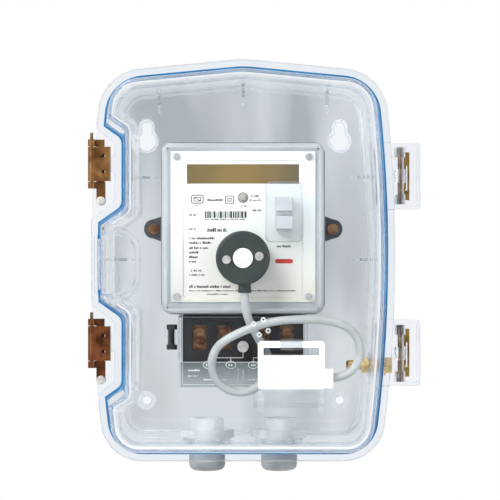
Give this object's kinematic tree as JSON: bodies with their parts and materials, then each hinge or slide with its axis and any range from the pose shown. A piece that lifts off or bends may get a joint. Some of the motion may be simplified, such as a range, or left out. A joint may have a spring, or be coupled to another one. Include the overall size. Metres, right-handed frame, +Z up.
{
  "type": "electric meter box",
  "caption": "Clear wall box with gabled top, hinged latched cover, and an electricity meter inside with optical reading head, looped cable and socket box",
  "frame": {"origin": "middle of the tray's flat back face, on the wall", "axes": "+X right seen from the front, +Y into the wall, +Z up; the cover faces -Y"},
  "size_m": [0.1996, 0.105, 0.2485],
  "materials": {
    "clear_tray": "clear, glossy",
    "clear_cover": "clear, glossy",
    "clear_inner": "clear, glossy",
    "clear_fitting": "clear, glossy",
    "seal_blue": "soft seal",
    "latch_brown": "passivated sheet, dull",
    "hinge_gold": "yellow passivated sheet",
    "pin_steel": "dark drawn wire",
    "rivet_steel": "plain",
    "gland_grey": "matt",
    "brass": "turned",
    "meter_dark": "matt moulded",
    "face_white": "satin white",
    "display_olive": "dull liquid crystal",
    "lamp_grey": "diffuse lens",
    "button_white": "satin",
    "board_green": "solder mask",
    "cell_steel": "plain",
    "copper": "copper flashed",
    "block_black": "matt moulded",
    "head_black": "satin moulded",
    "disc_white": "matt",
    "cable_grey": "smooth sheath",
    "socket_white": "satin moulded"
  },
  "bodies": {
    "box": {"base_tray": "clear_tray", "rim_gasket": "seal_blue", "meter_base": "meter_dark", "meter_fixing_screws": "copper", "circuit_board": "board_green", "display_battery": "cell_steel", "current_shunt": "copper", "display_panel": "display_olive", "pulse_lamp": "lamp_grey", "meter_face": "face_white", "face_rivets": "rivet_steel", "meter_cover": "clear_inner", "button_guard": "clear_fitting", "terminal_block": "block_black", "terminal_bars": "copper", "terminal_screws": "copper", "terminal_cover": "clear_inner", "terminal_cover_screw": "rivet_steel", "sealing_spindle": "block_black", "reading_head": "head_black", "head_screws": "rivet_steel", "head_disc": "disc_white", "reading_cable": "cable_grey", "socket_box": "socket_white", "socket_clip": "clear_fitting", "socket_bracket": "clear_fitting", "left_cable_gland": "gland_grey", "right_cable_gland": "gland_grey", "left_gland_nut": "clear_fitting", "right_gland_nut": "clear_fitting", "side_bolt": "brass", "side_bolt_washer": "brass", "side_bolt_nut": "brass", "upper_hinge_pin": "pin_steel", "upper_hinge_leaf": "hinge_gold", "upper_latch_bracket": "latch_brown", "upper_latch_pin": "pin_steel", "upper_latch_rivet": "rivet_steel", "lower_hinge_pin": "pin_steel", "lower_hinge_leaf": "hinge_gold", "lower_latch_bracket": "latch_brown", "lower_latch_pin": "pin_steel", "lower_latch_rivet": "rivet_steel"},
    "cover": {"front_cover": "clear_cover"},
    "upper_latch": {"upper_latch_plate": "latch_brown"},
    "lower_latch": {"lower_latch_plate": "latch_brown"},
    "upper_button": {"upper_button": "button_white"},
    "lower_button": {"lower_button": "button_white"}
  },
  "joints": [
    {"name": "cover_swing", "type": "hinge", "parent": "box", "child": "cover", "pos_m": [0.0942, -0.053, 0], "axis": [0, 0, 1], "range_deg": [0, 110]},
    {"name": "upper_latch_swing", "type": "hinge", "parent": "box", "child": "upper_latch", "pos_m": [-0.0906, -0.0548, 0.0575], "axis": [0, 0, -1], "range_deg": [0, 120]},
    {"name": "lower_latch_swing", "type": "hinge", "parent": "box", "child": "lower_latch", "pos_m": [-0.0906, -0.0548, -0.0499], "axis": [0, 0, -1], "range_deg": [0, 120]},
    {"name": "upper_button_press", "type": "slide", "parent": "box", "child": "upper_button", "axis": [0, 1, 0], "range_m": [0, 0.0015], "stiffness_N_per_m": 400},
    {"name": "lower_button_press", "type": "slide", "parent": "box", "child": "lower_button", "axis": [0, 1, 0], "range_m": [0, 0.0015], "stiffness_N_per_m": 400}
  ]
}
